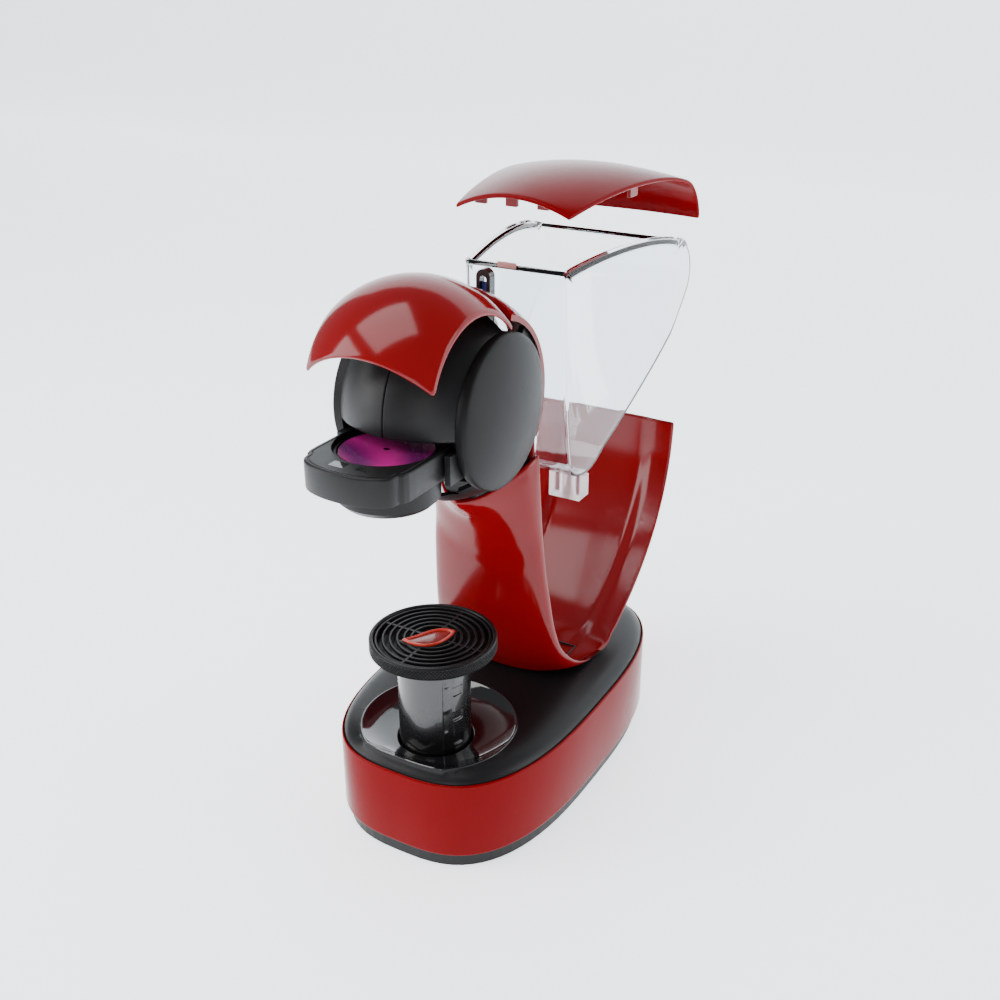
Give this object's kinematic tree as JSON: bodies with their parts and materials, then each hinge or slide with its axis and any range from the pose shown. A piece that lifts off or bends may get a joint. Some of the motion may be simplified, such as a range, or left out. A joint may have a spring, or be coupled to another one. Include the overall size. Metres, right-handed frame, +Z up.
{
  "type": "pod coffee machine",
  "caption": "Pod coffee machine: oval base with sliding drip stand, V-shaped body, ball-shaped head with lifting visor, pod drawer, lift-out tank and lid.",
  "frame": {"origin": "centre of the base outline, on the surface the machine stands on", "axes": "+Z up, -Y towards the user (drawer side), +X to the user's right when facing the machine"},
  "size_m": [0.157, 0.3524, 0.4038],
  "materials": {
    "red_gloss": "high gloss, moulded-in red",
    "black_satin": "fine satin texture",
    "black_gloss": "polished",
    "rubber_black": "matt",
    "rubber_red": "silicone, matt",
    "steel": "zinc plated or stainless",
    "aluminium": "die cast",
    "brass": "plain",
    "clear_plastic": "clear, faint blue",
    "foil": "printed foil, magenta",
    "pod_plastic": "moulded",
    "red_plastic": "semi-gloss",
    "rose_plastic": "translucent rose",
    "light_ring": "translucent",
    "grey_plastic": "glass-filled",
    "white_plastic": "natural",
    "board_green": "solder mask",
    "hose": "silicone hose"
  },
  "bodies": {
    "base": {"base_plate": "black_satin", "rubber_feet": "rubber_black", "base_screws": "steel", "base_band": "red_gloss", "base_deck": "black_satin", "drip_bowl": "black_gloss", "cord_inlet": "rubber_black", "body_shell": "red_gloss", "neck_cover": "red_gloss", "neck_collar": "black_satin", "head_chassis": "black_satin", "chassis_screws": "steel", "side_disc_left": "black_satin", "side_disc_right": "black_satin", "head_drum": "black_satin", "head_underside": "black_satin", "rear_cover": "red_gloss", "visor_bracket": "grey_plastic", "visor_axle": "steel", "injector_frame": "grey_plastic", "injector_springs": "steel", "selector_valve": "white_plastic", "button_ring": "light_ring", "dock_socket": "rubber_black", "water_pump": "brass", "pump_mounts": "rubber_black", "thermoblock": "aluminium", "thermostat": "black_satin", "flow_meter": "white_plastic", "control_board": "board_green", "suction_hose": "hose", "riser_hose": "hose"},
    "drip_stand": {"drip_column": "black_gloss", "drip_cup": "black_satin"},
    "grid": {"drip_grid": "black_satin"},
    "float": {"drip_float": "red_plastic"},
    "visor": {"visor": "red_gloss"},
    "injector": {"injector": "white_plastic", "injector_seal": "rubber_red"},
    "drawer": {"pod_drawer": "black_satin", "pod_cup": "black_satin"},
    "pod": {"pod_shell": "pod_plastic", "pod_foil": "foil"},
    "lever": {"selector_lever": "black_gloss", "selector_mark": "red_plastic"},
    "button": {"power_button": "black_satin"},
    "tank": {"water_tank": "clear_plastic", "tank_foot": "clear_plastic", "tank_clip": "rose_plastic"},
    "tank_valve": {"tank_valve": "white_plastic"},
    "lid": {"tank_lid": "red_gloss"},
    "flow_rotor": {"flow_rotor": "grey_plastic"}
  },
  "joints": [
    {"name": "visor_hinge", "type": "hinge", "parent": "base", "child": "visor", "pos_m": [0, -0.061, 0.341], "axis": [1, 0, 0], "range_deg": [0, 32.5]},
    {"name": "injector_slide", "type": "slide", "parent": "base", "child": "injector", "axis": [0, 0, -1], "range_m": [0, 0.0083], "deforming": ["injector_springs"]},
    {"name": "drawer_slide", "type": "slide", "parent": "base", "child": "drawer", "axis": [0, 1, 0], "range_m": [0, 0.041]},
    {"name": "pod_lift", "type": "slide", "parent": "drawer", "child": "pod", "axis": [0, 0, -1], "range_m": [-0.008, 0]},
    {"name": "stand_height", "type": "slide", "parent": "base", "child": "drip_stand", "axis": [0, 0, -1], "range_m": [0, 0.044]},
    {"name": "grid_lift", "type": "slide", "parent": "drip_stand", "child": "grid", "axis": [0, 0, -1], "range_m": [-0.03, 0]},
    {"name": "float_rise", "type": "slide", "parent": "grid", "child": "float", "axis": [0, 0, 1], "range_m": [0, 0.002]},
    {"name": "tank_lift", "type": "slide", "parent": "base", "child": "tank", "axis": [0, -0.1201, -0.9928], "range_m": [0, 0.1249]},
    {"name": "tank_valve_lift", "type": "slide", "parent": "tank", "child": "tank_valve", "axis": [0, 0, 1], "range_m": [0, 0.002]},
    {"name": "lid_lift", "type": "slide", "parent": "tank", "child": "lid", "axis": [0, 0, -1], "range_m": [0, 0.0335]},
    {"name": "selector_tilt", "type": "hinge", "parent": "base", "child": "lever", "pos_m": [0, -0.021, 0.322], "axis": [0, 1, 0], "range_deg": [-20, 20]},
    {"name": "button_press", "type": "slide", "parent": "base", "child": "button", "axis": [1, 0, 0], "range_m": [0, 0.0014], "stiffness_N_per_m": 600},
    {"name": "flow_spin", "type": "hinge", "parent": "base", "child": "flow_rotor", "pos_m": [0.027, 0.062, 0.038], "axis": [0, 0, 1], "continuous": true}
  ],
  "couplings": [
    {"joint": "injector_slide", "follows": "visor_hinge", "m_per_rad": 0.014456}
  ]
}
